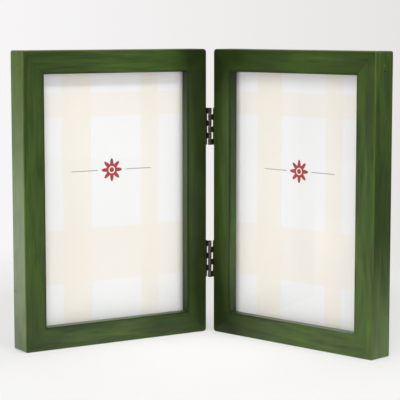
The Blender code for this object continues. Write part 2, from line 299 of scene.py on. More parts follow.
def dense_outline(corners, step):
    """A closed outline's corners with points added along it about one step apart, and their distances."""
    closed = np.vstack((corners, corners[:1]))
    reached = np.concatenate(([0.0], np.cumsum(np.hypot(*np.diff(closed, axis=0).T))))
    marks = np.concatenate((reached, np.arange(0.0, reached[-1], step)))
    marks = np.unique(np.round(marks, 6))[:-1]
    outline = np.stack([np.interp(marks, reached, closed[:, axis]) for axis in (0, 1)], axis=1)
    return outline, marks, reached


def circle_arc(centre, radius, start, end, steps):
    """Points round a circle between two angles."""
    angle = np.linspace(start, end, steps + 1)
    return np.stack((centre[0] + radius * np.cos(angle), centre[1] + radius * np.sin(angle)), axis=1)


def bell(distance, reach):
    """1 at no distance, falling off as the square of the distance in the exponent."""
    return np.exp(-((distance / reach) ** 2))


def moulding_section():
    """The moulding's outline as (inset, depth): quarter circles at both outer arrises and the sight edge,
    straight faces between, and the rabbet's step. Each point has its distance round the outline, a wear
    mark that is 1 on an outer arris and fades as a bell curve of the distance from it, and a like mark
    of painted shade along the sight edge.
    """
    face, deep, lip, wall = SIZE.face, SIZE.depth, SIZE.lip, SIZE.wall
    corners = np.vstack(
        (
            circle_arc((OUTER_EASE, OUTER_EASE), OUTER_EASE, -2 * QUARTER, -QUARTER, ROUND_STEPS),
            circle_arc((face - SIGHT_EASE, SIGHT_EASE), SIGHT_EASE, -QUARTER, 0, ROUND_STEPS),
            ((face, lip), (wall, lip), (wall, deep)),
            circle_arc((OUTER_EASE, deep - OUTER_EASE), OUTER_EASE, QUARTER, 2 * QUARTER, ROUND_STEPS),
        )
    )
    outline, girth, reached = dense_outline(corners, SECTION_STEP)
    half = ROUND_STEPS // 2
    arrises = reached[[half, len(corners) - 1 - half]]
    edge = bell(np.abs(girth[:, None] - arrises).min(axis=1), EDGE_REACH)
    # Painted shade along the sight edge
    sight = SIGHT_PAINTED_SHADE * bell(girth - reached[ROUND_STEPS + 1 + half], SIGHT_PAINTED_SHADE_REACH)
    return outline[:, 0], outline[:, 1], np.append(girth, reached[-1]), edge, sight


SECTION = moulding_section()

# Length, corner rounding at both ends, and place on the leaf as (across, height)
RAIL_ENDS = (HINGE_CORNER, OUTER_CORNER)
OUTER_ENDS = (OUTER_CORNER, OUTER_CORNER)
HINGE_ENDS = (HINGE_CORNER, HINGE_CORNER)
MEMBERS = {
    "top_rail": (SIZE.width, RAIL_ENDS, lambda along, inset: (along, SIZE.height - inset)),
    "bottom_rail": (SIZE.width, RAIL_ENDS, lambda along, inset: (along, inset)),
    "outer_stile": (SIZE.height, OUTER_ENDS, lambda along, inset: (SIZE.width - inset, along)),
    "hinge_stile": (SIZE.height, HINGE_ENDS, lambda along, inset: (inset, along)),
}


def side_share(member, inset):
    """1 on the side of a stile that has patches of painted light and shade of its own, and less round the
    arris beside it.
    """
    away = inset / OUTER_EASE if member == "outer_stile" else (SIZE.face - inset) / SIGHT_EASE
    return np.clip(1 - away, 0.0, 1.0)


def stain_depth(leaf, member, across, height, inset):
    """How much painted shade (above 0) and painted light (below 0) go into the wood: the sum of the leaf's
    patches, each a share of two bell curves across and up, and on a stile's side of the sum of that side's
    patches.
    """
    depth = 0.0
    for middle, level, reach_across, reach_up, share in SHADE_AND_LIGHT_PATCHES[leaf.name]:
        depth = depth + share * bell(across - middle, reach_across) * bell(height - level, reach_up)
    for level, reach_up, share in SIDE_SHADE_AND_LIGHT_PATCHES[leaf.name].get(member, ()):
        depth = depth + side_share(member, inset) * share * bell(height - level, reach_up)
    return depth


def mitred_end(inset, corner):
    """Rows of a member's end: how far each line stops short of the corner, and its inset there.

    The lines near the outside follow quarter arcs about the frame's corner, short of it by r sin(turn)
    and inset by r cos(turn), up to half way round. The other lines meet at the mitre.
    """
    turn = np.linspace(0.0, QUARTER / 2, ROUND_STEPS // 2 + 1)[:, None]
    radius = np.maximum(corner - inset, 0.0)
    rounded = inset < corner
    short = np.where(rounded, corner - radius * np.sin(turn), inset) + MITRE_SETBACK
    return short, np.where(rounded, corner - radius * np.cos(turn), inset)


def grain_map(along, girth):
    """Map of a member's faces, sides before caps: u runs along the member and v round its section."""
    beside = np.roll(along, -1, axis=1)
    run = np.stack((along[:-1], beside[:-1], beside[1:], along[1:]), axis=-1)
    turned = np.stack((girth[:-1], girth[1:], girth[1:], girth[:-1]), axis=-1)
    turned = np.broadcast_to(turned, run.shape)
    cap_run = np.concatenate((along[0, ::-1], along[-1]))
    cap_turned = np.concatenate((girth[-2::-1], girth[:-1]))
    return np.stack((np.append(run, cap_run), np.append(turned, cap_turned)), axis=1)


def moulding_member(leaf, member, number, wood):
    """One mitred length: the moulding's section carried along the member between its two mitred ends."""
    length, corners, to_leaf = MEMBERS[member]
    inset, depth, girth, edge, sight = SECTION
    start, start_inset = mitred_end(inset, corners[0])
    end, end_inset = mitred_end(inset, corners[1])
    middle = np.linspace(2 * SIZE.face, length - 2 * SIZE.face, MEMBER_ROWS)[:, None]
    middle = np.broadcast_to(middle, (MEMBER_ROWS, len(inset)))
    along = np.concatenate((start[::-1], middle, length - end))
    here = np.concatenate((start_inset[::-1], np.broadcast_to(inset, middle.shape), end_inset))
    across, height = to_leaf(along, here)
    rows, columns = along.shape
    caps = [list(range(columns))[::-1], list(range((rows - 1) * columns, rows * columns))]
    # Painted shade and painted light: the leaf's patches plus the painted shade along the sight edge
    painted_light_and_shade_values = stain_depth(leaf, member, across, height, inset) + sight
    name = f"{leaf.name}_{member}"
    add_piece(
        f"{name}_stained",
        leaf.body,
        wood,
        leaf.place(SIZE.near + across, SIZE.front + depth, height),
        loop_quads(rows, columns) + caps,
        replaces=[name],
        uv=grain_map(along, girth) + number * GRAIN_JUMP,
        marks={EDGE_MARK: np.broadcast_to(edge, along.shape), PAINTED_LIGHT_AND_SHADE_MARK: painted_light_and_shade_values},
    )


def revolve(radius, height, sides):
    """A half-section spun round the Z axis: (r cos a, r sin a, h), one row for each section point."""
    angle = np.linspace(0.0, 4 * QUARTER, sides, endpoint=False)
    ring = np.stack((np.cos(angle), np.sin(angle)), axis=-1)
    level = np.broadcast_to(height[:, None, None], (len(height), sides, 1))
    return np.concatenate((radius[:, None, None] * ring, level), axis=-1)


def stand(points, base, outward, beside):
    """Move points from their own axes to a base point, with their Z along outward and X along beside."""
    axes = np.stack((beside, np.cross(outward, beside), outward))
    return base + points @ axes


def brad_plug(leaf, rail, stile, filler):
    """The filling over a set brad on a stile's side: a shallow lens, its rise falling with r squared."""
    low, high = leaf.extent(f"{leaf.name}_brad_{rail}_{stile}")
    side, inward = {"outer": (1, SIZE.width), "hinge": (-1, 0.0)}[stile]
    middle = (low + high) / 2
    reach = np.linspace(0.0, 1.0, PLUG_RINGS)
    radius = PLUG_RADIUS * np.append(reach, (1.0, 0.0))
    height = np.append(PLUG_RISE * (1 - reach**2), (-PLUG_DEPTH, -PLUG_DEPTH))
    base = leaf.place(SIZE.near + inward, middle[1], middle[2])
    points = stand(revolve(radius, height, SMALL_SIDES), base, side * leaf.across, UP)
    faces = loop_quads(len(radius), SMALL_SIDES)
    name = f"{leaf.name}_brad_plug_{rail}_{stile}"
    add_piece(name, leaf.body, filler, points, faces)


def cross_recess(x, y, arm, half_width, deep):
    """Depth of a cross-shaped driver recess: full inside two crossed bars, ramped up over their walls."""
    along_x = np.maximum(np.abs(x) - arm, np.abs(y) - half_width)
    along_y = np.maximum(np.abs(y) - arm, np.abs(x) - half_width)
    inside = np.clip(0.5 - np.minimum(along_x, along_y) / RECESS_TAPER, 0.0, 1.0)
    return deep * inside * inside * (3 - 2 * inside)


def screw_points(kind, head, rise, shank, number):
    """A screw head and the start of its shank: an elliptic dome over a short rim, less the cross recess."""
    sweep = np.linspace(0.0, QUARTER, SCREW_RINGS)
    radius = np.append(head * np.sin(sweep), (head, shank, shank, 0.0))
    height = np.append(kind["rim"] + rise * np.cos(sweep), (0.0, 0.0, -kind["root"], -kind["root"]))
    points = revolve(radius, height, SCREW_SIDES)
    dome = points[:SCREW_RINGS]
    turn = kind["turn"] * number
    x = dome[..., 0] * math.cos(turn) + dome[..., 1] * math.sin(turn)
    y = dome[..., 1] * math.cos(turn) - dome[..., 0] * math.sin(turn)
    dome[..., 2] -= cross_recess(x, y, *kind["recess"])
    return points


def add_screw(leaf, name, metal, points):
    """A screw in place of its model node, with the last rings of its dome and its rim marked as rubbed."""
    edge = np.zeros(points.shape[:2])
    edge[SCREW_RINGS - RUBBED_RINGS : SCREW_RINGS + 1] = 1.0
    marks = {EDGE_MARK: edge}
    faces = loop_quads(*edge.shape)
    add_piece(f"{name}_head", leaf.body, metal, points, faces, replaces=[name], marks=marks)


def button_seat(leaf, where):
    """A turn button's pivot on the leaf's axes, at the underside of the button."""
    low, _ = leaf.extent(f"{leaf.name}_turn_button_{where}")
    place = np.array(JOINTS[f"{leaf.name}_turn_button_{where}_turn"]["pos_m"]) - PIN
    return place @ leaf.across, low[1], place @ UP


def button_screw(leaf, where, number, steel):
    """The dome-headed screw that a turn button pivots on."""
    name = f"{leaf.name}_button_screw_{where}"
    low, high = leaf.extent(name)
    head = max(high[2] - low[2], high[0] - low[0]) / 2
    across, depth, height = button_seat(leaf, where)
    seat = depth + BUTTON_THICKNESS + BUTTON_GAP
    rise = high[1] - seat - BUTTON_SCREW["rim"]
    points = screw_points(BUTTON_SCREW, head, rise, BUTTON_SCREW_SHANK, number)
    points = stand(points, leaf.place(across, seat, height), leaf.back, UP)
    add_screw(leaf, name, steel, points)


def button_outline():
    """Outline of a turn button round its pivot: two circles joined by their outer tangents."""
    lean = math.acos((BUTTON_HEEL_RADIUS - BUTTON_TIP_RADIUS) / BUTTON_REACH)
    tip = circle_arc((BUTTON_REACH, 0.0), BUTTON_TIP_RADIUS, -lean, lean, 2 * ROUND_STEPS)
    heel = circle_arc((0.0, 0.0), BUTTON_HEEL_RADIUS, lean, 4 * QUARTER - lean, 3 * ROUND_STEPS)
    return dense_outline(np.vstack((tip, heel)), BUTTON_STEP)[0]


def turn_button(leaf, where, steel):
    """A stamped turn button: a flat washer-like section carried round the pivot out to the outline.

    The section runs up the hole's wall, out over the top, round the edge's two small quarter circles and
    back under. Its tip lifts with the square of the distance past the start of the lift.
    """
    outline = button_outline()
    reach = np.hypot(*outline.T)
    heading = outline / reach[:, None]
    turn = np.linspace(0.0, QUARTER, BUTTON_EDGE_RINGS)
    spread = np.linspace(0.0, 1.0, BUTTON_RINGS)
    still = np.zeros(BUTTON_RINGS)
    curl = np.concatenate((np.sin(turn), np.cos(turn))) * BUTTON_ROUND
    share = np.concatenate((spread, np.ones(len(curl)), spread[::-1]))
    beyond = np.concatenate((still, curl, still))
    upper_edge = BUTTON_THICKNESS - BUTTON_ROUND * (1 - np.cos(turn))
    lower_edge = BUTTON_ROUND * (1 - np.sin(turn))
    level = np.concatenate((still + BUTTON_THICKNESS, upper_edge, lower_edge, still))
    radius = BUTTON_HOLE + share[:, None] * (reach - BUTTON_HOLE - BUTTON_ROUND) + beyond[:, None]
    flat = radius[..., None] * heading
    run = BUTTON_REACH + BUTTON_TIP_RADIUS - BUTTON_LIFT_START
    lift = BUTTON_LIFT * (np.maximum(flat[..., 0] - BUTTON_LIFT_START, 0.0) / run) ** 2
    points = np.concatenate((flat, (level[:, None] + lift)[..., None]), axis=-1)
    edge = np.broadcast_to((beyond > 0)[:, None], radius.shape).astype(float)
    inward = {"top": -UP, "bottom": UP, "outer": -leaf.across, "hinge": leaf.across}[where]
    name = f"{leaf.name}_turn_button_{where}"
    add_piece(
        f"{name}_plate",
        name,
        steel,
        stand(points, leaf.place(*button_seat(leaf, where)), leaf.back, inward),
        loop_quads(*radius.shape, closed_rows=True),
        replaces=[name],
        marks={EDGE_MARK: edge},
    )


def sheet_shell(front, back, kept):
    """Faces of a closed sheet from two grids of points: kept cells on both sides, and walls round them."""
    rows, columns = front.shape[:2]
    below = rows * columns
    number = np.arange(below).reshape(rows, columns)
    top = np.stack((number[:-1, :-1], number[1:, :-1], number[1:, 1:], number[:-1, 1:]), axis=-1)[kept]
    around = np.pad(kept, 1)
    before, after = around[:-1, 1:-1], around[1:, 1:-1]
    left, right = around[1:-1, :-1], around[1:-1, 1:]

    def wall(mask, first, second):
        return np.stack((first, second, second + below, first + below), axis=-1)[mask]

    faces = np.vstack(
        (
            top,
            top[:, ::-1] + below,
            wall(after & ~before, number[:, :-1], number[:, 1:]),
            wall(before & ~after, number[:, 1:], number[:, :-1]),
            wall(right & ~left, number[1:], number[:-1]),
            wall(left & ~right, number[:-1], number[1:]),
        )
    )
    used, faces = np.unique(faces, return_inverse=True)
    points = np.concatenate((front.reshape(-1, 3), back.reshape(-1, 3)))
    return points[used], faces.reshape(-1, 4), used


def hinge_plate(hinge, leaf, bronze):
    """A hinge plate: a bent sheet whose alternate tabs roll round the pin.

    Its path runs down the flat plate to the pin and then round a circle of the roll's middle radius. The
    sheet's two sides are that path moved half its thickness along its normal.
    """
    name = f"{hinge}_hinge_{leaf.name}_plate"
    low, high = leaf.extent(name)
    half = PLATE_THICKNESS / 2
    plate = np.linspace(high[1], PLATE_CUTOUT, PLATE_ROWS + 1)
    neck = np.linspace(PLATE_CUTOUT, 0.0, NECK_ROWS + 1)[1:]
    roll = np.linspace(0.0, -ROLL_ANGLE, ROLL_STEPS + 1)[1:]
    flat = np.concatenate((plate, neck))
    angle = np.concatenate((0 * flat, roll))
    normal = np.stack((np.cos(angle), np.sin(angle)), axis=1)
    path = normal * (high[0] - half)
    path[: len(flat), 1] = flat
    joints = np.linspace(low[2], high[2], KNUCKLES + 1)[1:-1]
    heights = np.concatenate(([low[2]], np.repeat(joints, 2), [high[2]]))
    heights[1:-1] += np.tile((-KNUCKLE_GAP / 2, KNUCKLE_GAP / 2), KNUCKLES - 1)
    is_tab = np.zeros(len(heights) - 1, bool)
    is_tab[2 * FIRST_KNUCKLE[leaf.name] :: 4] = True
    kept = np.broadcast_to(is_tab, (len(path) - 1, len(is_tab))).copy()
    kept[:PLATE_ROWS] = True

    def side_points(offset):
        moved = path + offset * normal
        return leaf.place(moved[:, 0, None], moved[:, 1, None], heights)

    points, faces, _ = sheet_shell(side_points(half), side_points(-half), kept)
    rolled = add_piece(f"{name}_rolled", leaf.body, bronze, points, faces.tolist(), replaces=[name])
    bevel = rolled.modifiers.new("arris", "BEVEL")
    bevel.width = PLATE_ARRIS
    bevel.segments = ARRIS_SEGMENTS
    bevel.limit_method = "ANGLE"
    bevel.angle_limit = SHARP_ANGLE


def hinge_screw(hinge, leaf, end, number, bronze):
    """A raised countersunk screw in a hinge plate, its crown a little proud of the plate."""
    name = f"{hinge}_hinge_{leaf.name}_screw_{end}"
    low, high = leaf.extent(name)
    middle = (low + high) / 2
    head = (high[2] - low[2]) / 2
    points = screw_points(HINGE_SCREW, head, HINGE_SCREW_RISE, head / 2, number)
    points = stand(points, leaf.place(low[0], middle[1], middle[2]), -leaf.across, UP)
    add_screw(leaf, name, bronze, points)


def hinge_pin(hinge, bronze):
    """A hinge pin: a rod whose two ends round over as quarter ellipses."""
    name = f"{hinge}_hinge_pin"
    low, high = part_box(name)
    rod = (high.x - low.x) / 2
    sweep = np.linspace(0.0, QUARTER, PIN_RINGS)
    radius = np.concatenate((rod * np.sin(sweep), rod * np.sin(sweep[::-1])))
    ends = PIN_DOME * (1 - np.cos(sweep))
    height = np.concatenate((high.z - ends, low.z + ends[::-1]))
    points = PIN + revolve(radius, height, SMALL_SIDES)
    faces = loop_quads(len(radius), SMALL_SIDES)
    add_piece(f"{name}_rod", "left_leaf", bronze, points, faces, replaces=[name])


def print_sheet(leaf, paper):
    """The printed sheet behind the glass: a flat grid with its own map, in metres from its lower left."""
    name = f"{leaf.name}_print"
    low, high = leaf.extent(name)
    share = np.linspace(0.0, 1.0, SHEET_CELLS + 1)
    across = low[0] + (high[0] - low[0]) * share[:, None]
    height = low[2] + (high[2] - low[2]) * share[None, :]
    front = leaf.place(across, low[1], height)
    back = leaf.place(across, high[1], height)
    points, faces, used = sheet_shell(front, back, np.ones((SHEET_CELLS, SHEET_CELLS), bool))
    from_left = across - low[0] if leaf.side > 0 else high[0] - across
    flat = np.stack(np.broadcast_arrays(from_left, height - low[2]), axis=-1).reshape(-1, 2)
    uv = np.concatenate((flat, flat))[used][faces.reshape(-1)]
    add_piece(f"{name}_sheet", leaf.body, paper, points, faces.tolist(), replaces=[name], uv=uv)


# Shader wiring


class Wiring:
    """Adds nodes to a shader tree, with inputs given as values or as sockets to link."""

    def __init__(self, tree):
        self.tree = tree

    def fill(self, socket, value):
        """Link a socket to another one, or set its value."""
        if isinstance(value, bpy.types.NodeSocket):
            self.tree.links.new(value, socket)
        else:
            socket.default_value = value

    def node(self, kind, inputs=None, **settings):
        made = self.tree.nodes.new(f"ShaderNode{kind}")
        for key, value in settings.items():
            setattr(made, key, value)
        for key, value in (inputs or {}).items():
            self.fill(made.inputs[key], value)
        return made

    def object_place(self):
        return self.node("TexCoord").outputs["Object"]

    def map_place(self):
        return self.node("UVMap", uv_map=GRAIN_MAP).outputs["UV"]

    def mark(self, name):
        return self.node("Attribute", attribute_name=name).outputs["Fac"]

    def axes(self, place):
        return self.node("SeparateXYZ", {0: place}).outputs

    def math(self, operation, first, second=0.0, third=0.0):
        return self.node("Math", {0: first, 1: second, 2: third}, operation=operation).outputs[0]

    def times(self, value, share, plus=0.0):
        """A share of a value, added to another."""
        return self.math("MULTIPLY_ADD", value, share, plus)

    def vector(self, operation, first, second):
        return self.node("VectorMath", {0: first, 1: second}, operation=operation).outputs[0]

    def length(self, place):
        return self.node("VectorMath", {0: place}, operation="LENGTH").outputs["Value"]

    def spread(self, value, low, high, to_low=0.0, to_high=1.0):
        """Smooth step of a value from one range to another."""
        inputs = {"Value": value, "From Min": low, "From Max": high, "To Min": to_low, "To Max": to_high}
        return self.node("MapRange", inputs, interpolation_type="SMOOTHSTEP").outputs["Result"]

    def band(self, value, low, high, soft):
        """1 between two limits, with soft flanks."""
        fall = self.spread(value, high - soft, high + soft, 1.0, 0.0)
        return self.times(self.spread(value, low - soft, low + soft), fall)

    def mix(self, share, first, second, blend="MIX"):
        inputs = {0: share, 6: first, 7: second}
        return self.node("Mix", inputs, data_type="RGBA", blend_type=blend).outputs[2]

    def cover(self, mask, share, under, over):
        """A colour laid over another by a share of a mask."""
        return self.mix(self.times(mask, share), under, over)

    def ramp(self, value, stops):
        made = self.node("ValToRGB", {"Fac": value})
        points = made.color_ramp.elements
        for place, _ in stops[1:-1]:
            points.new(place)
        for point, (place, colour) in zip(points, stops):
            point.position = place
            point.color = colour
        return made.outputs["Color"]

    def noise(self, place, scale=1.0, detail=3.0, roughness=0.5, distortion=0.0):
        inputs = {"Vector": place, "Scale": scale, "Detail": detail, "Roughness": roughness}
        inputs["Distortion"] = distortion
        return self.node("TexNoise", inputs).outputs["Fac"]

    def group(self, tree, **inputs):
        """A node group's outputs; underscores stand for the spaces in its inputs' names."""
        named = {key.replace("_", " "): value for key, value in inputs.items()}
        return self.node("Group", named, node_tree=tree).outputs

    def bump(self, height, strength, distance):
        inputs = {"Height": height, "Strength": strength, "Distance": distance}
        return self.node("Bump", inputs).outputs["Normal"]

    def light(self, kind, colour, strength=1.0):
        return self.node(kind, {"Color": colour, "Strength": strength}).outputs[0]

    def blend(self, share, first, second):
        """One surface or light that fades into another."""
        return self.node("MixShader", {0: share, 1: first, 2: second}).outputs[0]

    def principled(self, **inputs):
        """The Principled shader's surface; underscores stand for the spaces in its inputs' names."""
        shader = self.tree.nodes["Principled BSDF"]
        for key, value in inputs.items():
            self.fill(shader.inputs[key.replace("_", " ")], value)
        return shader.outputs[0]

    def show(self, surface, output="Material Output"):
        """Send a surface or light to the tree's output."""
        self.fill(self.tree.nodes[output].inputs["Surface"], surface)


def new_group(name, place, values, outputs):
    """A node group that reads a place and some values; returns its wiring, input and output sockets."""
    tree = bpy.data.node_groups.new(name, "ShaderNodeTree")
    tree.interface.new_socket(place, in_out="INPUT", socket_type="NodeSocketVector")
    for in_out, sockets in (("INPUT", values), ("OUTPUT", outputs)):
        for socket in sockets:
            tree.interface.new_socket(socket, in_out=in_out, socket_type="NodeSocketFloat")
    entry = tree.nodes.new("NodeGroupInput")
    leave = tree.nodes.new("NodeGroupOutput")
    return Wiring(tree), entry.outputs, leave.inputs


# Shared effects: how much finer one noise is than another, and which of its range is kept
FIBRE_STRETCH = (2.5, 6.0, 6.0)
PORE_STRETCH = (5.0, 11.0, 11.0)
PORE_CRESTS = (0.60, 0.74)
SPECK_FINENESS = 20.0
RUBBED_SWING = 1.1
RUBBED_RANGE = (0.45, 1.05)
HAIRLINE_TURNS = ((0.5, 0.4, 0.5), (2.1, 0.4, 2.1))
HAIRLINE_STRETCH = (0.06, 1.0, 1.0)
HAIRLINE_CRESTS = (0.62, 0.70)


def grain_group():
    """Wood or board fibre drawn out along X: broad streaks, fine fibres and short dark pores."""
    outputs = ("Streaks", "Fibres", "Pores")
    wire, given, out = new_group("drawn_out_grain", "Vector", ("Along", "Across"), outputs)
    along, across = given["Along"], given["Across"]
    factors = wire.node("CombineXYZ", {0: along, 1: across, 2: across}).outputs[0]
    drawn = wire.vector("MULTIPLY", given["Vector"], factors)
    fibres = wire.vector("MULTIPLY", drawn, FIBRE_STRETCH)
    pores = wire.noise(wire.vector("MULTIPLY", drawn, PORE_STRETCH), detail=2.0)
    wire.fill(out["Streaks"], wire.noise(drawn, detail=4.0, roughness=0.55, distortion=0.7))
    wire.fill(out["Fibres"], wire.noise(fibres, roughness=0.6))
    wire.fill(out["Pores"], wire.spread(pores, *PORE_CRESTS))
    return wire.tree


def mottle_group():
    """Uneven finish: a soft cloud, and specks that are finer by a set factor."""
    wire, given, out = new_group("uneven_finish", "Vector", ("Scale",), ("Cloud", "Specks"))
    fine = wire.times(given["Scale"], SPECK_FINENESS)
    wire.fill(out["Cloud"], wire.noise(given["Vector"], given["Scale"], roughness=0.55))
    wire.fill(out["Specks"], wire.noise(given["Vector"], fine, detail=2.0, roughness=0.6))
    return wire.tree


def rubbed_group():
    """Wear along arrises: the edge mark broken up by noise, with a soft threshold."""
    wire, given, out = new_group("rubbed_edges", "Vector", ("Edge", "Break Up"), ("Mask",))
    broken = wire.times(wire.noise(given["Vector"], given["Break Up"]), RUBBED_SWING, -RUBBED_SWING / 2)
    worn = wire.math("ADD", given["Edge"], broken)
    wire.fill(out["Mask"], wire.spread(worn, *RUBBED_RANGE))
    return wire.tree


def scratch_group():
    """Hairlines: noise drawn out very long in two directions, with only its crests kept."""
    wire, given, out = new_group("hairlines", "Vector", ("Scale",), ("Mask",))
    scaled = {"Vector": given["Vector"], "Scale": given["Scale"]}
    sized = wire.node("VectorMath", scaled, operation="SCALE").outputs[0]
    crests = []
    for turn in HAIRLINE_TURNS:
        turned = wire.node("Mapping", {"Vector": sized, "Rotation": turn}).outputs[0]
        drawn = wire.vector("MULTIPLY", turned, HAIRLINE_STRETCH)
        crests.append(wire.spread(wire.noise(drawn, detail=2.0), *HAIRLINE_CRESTS))
    wire.fill(out["Mask"], wire.math("MAXIMUM", *crests))
    return wire.tree


GRAIN = grain_group()
MOTTLE = mottle_group()
RUBBED = rubbed_group()
SCRATCHES = scratch_group()


# Finishes


def new_material(name):
    """A material and its wiring."""
    material = bpy.data.materials.new(name)
    material.use_nodes = True
    return material, Wiring(material.node_tree)


def rgb(red, green, blue):
    return (red, green, blue, 1.0)


# Stained wood: tones along the grain from dark to pale, and what goes over them
STAIN_TONES = (
    (0.30, rgb(0.017, 0.037, 0.0030)),
    (0.50, rgb(0.036, 0.076, 0.0050)),
    (0.70, rgb(0.057, 0.111, 0.0085)),
    (0.95, rgb(0.092, 0.155, 0.0170)),
)
FIBRE_SHARE = 0.5
TONE_SHIFT = -0.25
# Painted light shifts the tone paler; painted shade turns it towards a dark colour, up to a greatest share
PAINTED_LIGHT_SHIFT = -0.11
PAINTED_SHADE_COLOUR = rgb(0.0105, 0.0196, 0.0018)
DEEPEST_PAINTED_SHADE = 0.95
CLOUD_STAIN = rgb(0.025, 0.052, 0.0050)
CLOUD_RANGE = (0.35, 0.75, 0.0, 0.35)
PORE_STAIN = rgb(0.010, 0.021, 0.003)
PORE_SHARE = 0.55
GREYING = rgb(0.92, 0.62, 2.2)
GREY_STREAKS = (26.0, 140.0, 1.0)
GREY_RANGE = (0.50, 0.66, 0.0, 0.6)
# Greying is less where the painted light is strong
GREY_FADE = (-3.0, 0.0, 0.35, 1.0)
RUBBED_STAIN = rgb(0.075, 0.118, 0.012)
RUBBED_SHARE = 0.45
NICK_STAIN = rgb(0.014, 0.020, 0.008)
NICK_EDGE = 0.4

# Satin lacquer on the wood and the filler
LACQUER = 0.5
SATIN = {"Specular_IOR_Level": 0.25, "Coat_Roughness": 0.35}


def side_place(number, height, depth):
    """Where a point of a stile's outer side, at a height and a depth from the front, lies on the map."""
    girth = SECTION[2][-1]
    u, v = (height, girth - depth + OUTER_EASE) + number * GRAIN_JUMP
    return u, v, 0.0


def nick_mask(wire, place):
    """A nick's strength where the distance from its middle over its half sizes is less than one."""
    mask = 0.0
    for number, height, depth, half_sizes, strength in NICKS:
        away = wire.vector("SUBTRACT", place, side_place(number, height, depth))
        far = wire.length(wire.vector("DIVIDE", away, half_sizes + (1.0,)))
        mask = wire.math("MAXIMUM", mask, wire.spread(far, NICK_EDGE, 1.0, strength, 0.0))
    return mask


def stained_wood():
    """Green stain under satin lacquer: tones along the grain, darkened by painted shade and made paler by
    painted light as the mark gives, with soft clouds, dark pores, greyed streaks, lighter rubbed arrises
    and nicks. Where the painted shade is deep, the lacquer coat is thinner.
    """
    material, wire = new_material("green_stained_wood")
    place = wire.map_place()
    # The mark of painted shade (above 0) and painted light (below 0)
    depth = wire.mark(PAINTED_LIGHT_AND_SHADE_MARK)
    grain = wire.group(GRAIN, Vector=place, Along=22.0, Across=230.0)
    mottle = wire.group(MOTTLE, Vector=place, Scale=60.0)
    rubbed = wire.group(RUBBED, Vector=place, Edge=wire.mark(EDGE_MARK), Break_Up=170.0)["Mask"]
    tone = wire.math("ADD", wire.times(grain["Fibres"], FIBRE_SHARE, grain["Streaks"]), TONE_SHIFT)
    # Painted light (mark below 0) shifts the tone paler; painted shade (mark above 0) darkens it
    tone = wire.times(wire.math("MINIMUM", depth, 0.0), PAINTED_LIGHT_SHIFT, tone)
    deep = wire.math("MINIMUM", wire.math("MAXIMUM", depth, 0.0), DEEPEST_PAINTED_SHADE)
    colour = wire.mix(deep, wire.ramp(tone, STAIN_TONES), PAINTED_SHADE_COLOUR)
    colour = wire.mix(wire.spread(mottle["Cloud"], *CLOUD_RANGE), colour, CLOUD_STAIN)
    colour = wire.cover(grain["Pores"], PORE_SHARE, colour, PORE_STAIN)
    drawn = wire.vector("MULTIPLY", place, GREY_STREAKS)
    greyed = wire.spread(wire.noise(drawn, detail=4.0, roughness=0.6, distortion=0.5), *GREY_RANGE)
    greyed = wire.times(greyed, wire.spread(depth, *GREY_FADE))
    colour = wire.mix(greyed, colour, GREYING, "MULTIPLY")
    colour = wire.cover(rubbed, RUBBED_SHARE, colour, RUBBED_STAIN)
    nicked = nick_mask(wire, place)
    rough = wire.times(mottle["Cloud"], share=0.16, plus=0.30)
    relief = wire.times(grain["Pores"], share=-0.8, plus=wire.times(grain["Fibres"], share=0.5))
    relief = wire.times(nicked, share=-3.0, plus=relief)
    wire.principled(
        Base_Color=wire.mix(nicked, colour, NICK_STAIN),
        Roughness=wire.times(grain["Pores"], share=0.12, plus=rough),
        Normal=wire.bump(relief, strength=0.25, distance=0.0001),
        # Thinner lacquer coat where the painted shade is deep
        Coat_Weight=wire.times(deep, -LACQUER, LACQUER),
        **SATIN,
    )
    return material


FILLER = (rgb(0.044, 0.080, 0.008), rgb(0.066, 0.114, 0.012))


def brad_filler():
    """Stained filler over a brad: close to the wood round it, without its grain."""
    material, wire = new_material("stained_filler")
    mottle = wire.group(MOTTLE, Vector=wire.object_place(), Scale=900.0)
    wire.principled(
        Base_Color=wire.mix(mottle["Cloud"], *FILLER),
        Roughness=wire.times(mottle["Specks"], share=0.2, plus=0.3),
        Normal=wire.bump(mottle["Cloud"], strength=0.2, distance=0.0001),
        Coat_Weight=LACQUER,
        **SATIN,
    )
    return material


# Low-reflection glass
GLASS_IOR = 1.25
GLASS_TINT = rgb(0.995, 0.995, 0.994)
GLASS_SHADE = rgb(0.990, 0.990, 0.989)
SMUDGE_RANGE = (0.45, 0.80, 0.004, 0.03)


def clear_glass():
    """Glass with the faintest smudging; lamps shine through it on what lies behind."""
    material, wire = new_material("clear_glass")
    mottle = wire.group(MOTTLE, Vector=wire.object_place(), Scale=30.0)
    surface = wire.principled(
        Base_Color=GLASS_TINT,
        Roughness=wire.spread(mottle["Cloud"], *SMUDGE_RANGE),
        IOR=GLASS_IOR,
        Transmission_Weight=1.0,
    )
    clear = wire.node("BsdfTransparent", {"Color": GLASS_SHADE}).outputs[0]
    rays = wire.node("LightPath").outputs
    for ray in ("Is Shadow Ray", "Is Diffuse Ray"):
        surface = wire.blend(rays[ray], surface, clear)
    wire.show(surface)
    return material


